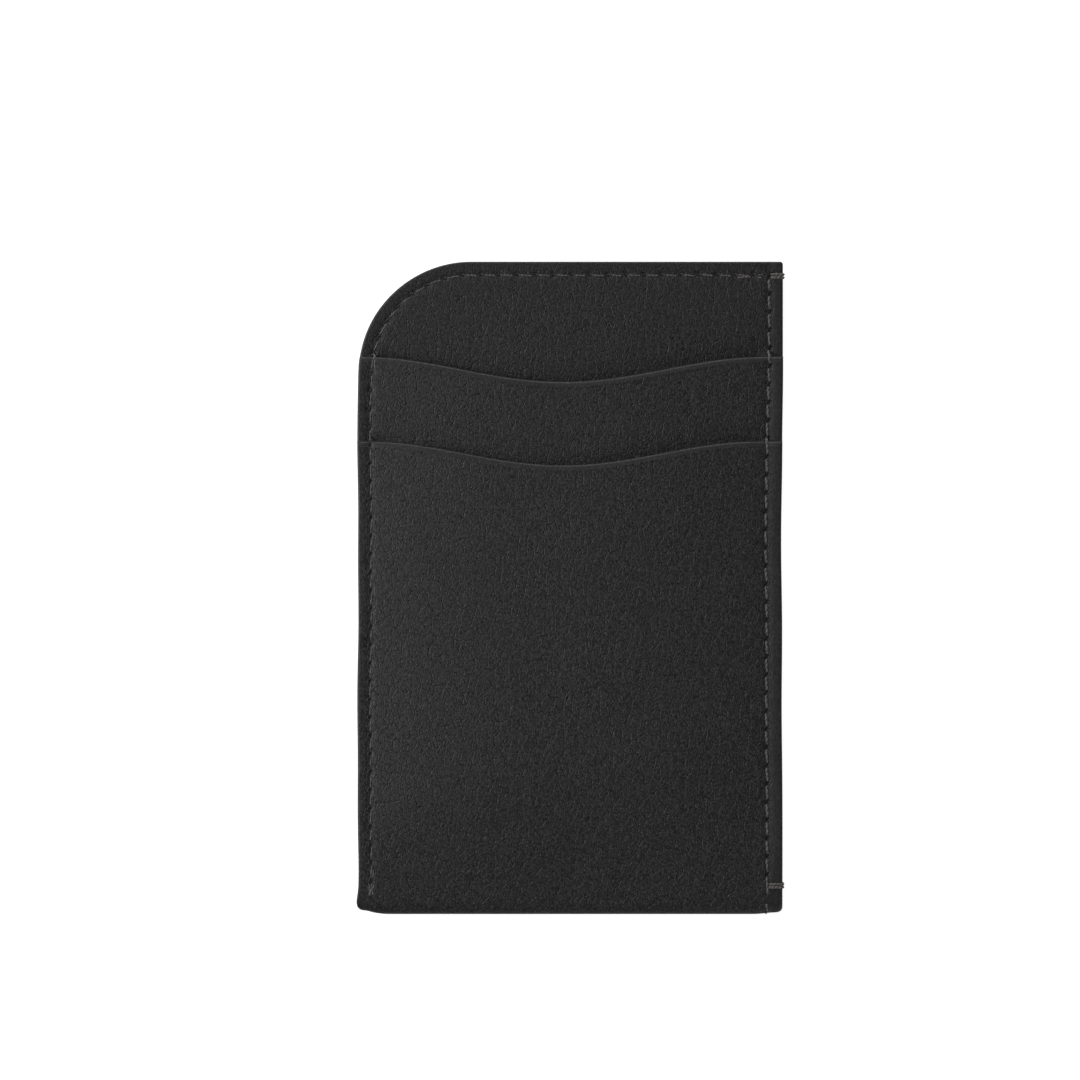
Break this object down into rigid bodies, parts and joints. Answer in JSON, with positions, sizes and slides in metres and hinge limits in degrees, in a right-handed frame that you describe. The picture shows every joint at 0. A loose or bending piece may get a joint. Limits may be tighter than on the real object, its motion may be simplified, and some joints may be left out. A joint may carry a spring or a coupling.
{
  "type": "card holder",
  "caption": "Flat vertical leather card holder with stepped front pockets, curved mouths, a round upper corner and a centre compartment.",
  "frame": {"origin": "on the back face that it rests on, at the middle of the bounding box", "axes": "+X to the right of the front face, +Y towards the top edge, +Z out of the front face"},
  "size_m": [0.0651, 0.1, 0.0069],
  "materials": {
    "shell_leather": "fine pebble grain, satin, painted edges",
    "panel_leather": "fine pebble grain, satin, painted edges",
    "lining_fabric": "matt fine weave",
    "sewing_thread": "twisted thread, slight sheen"
  },
  "bodies": {
    "root": {"outer_wrap": "shell_leather", "back_lining": "lining_fabric", "tall_panel_lining": "lining_fabric", "tall_panel": "panel_leather", "upper_pocket_lining": "lining_fabric", "upper_pocket_panel": "panel_leather", "edge_seam_needle_thread": "sewing_thread", "edge_seam_bobbin_thread": "sewing_thread", "right_seam_thread": "sewing_thread", "pocket_base_seam_thread": "sewing_thread", "upper_tack": "sewing_thread", "lower_tack": "sewing_thread"}
  },
  "joints": []
}
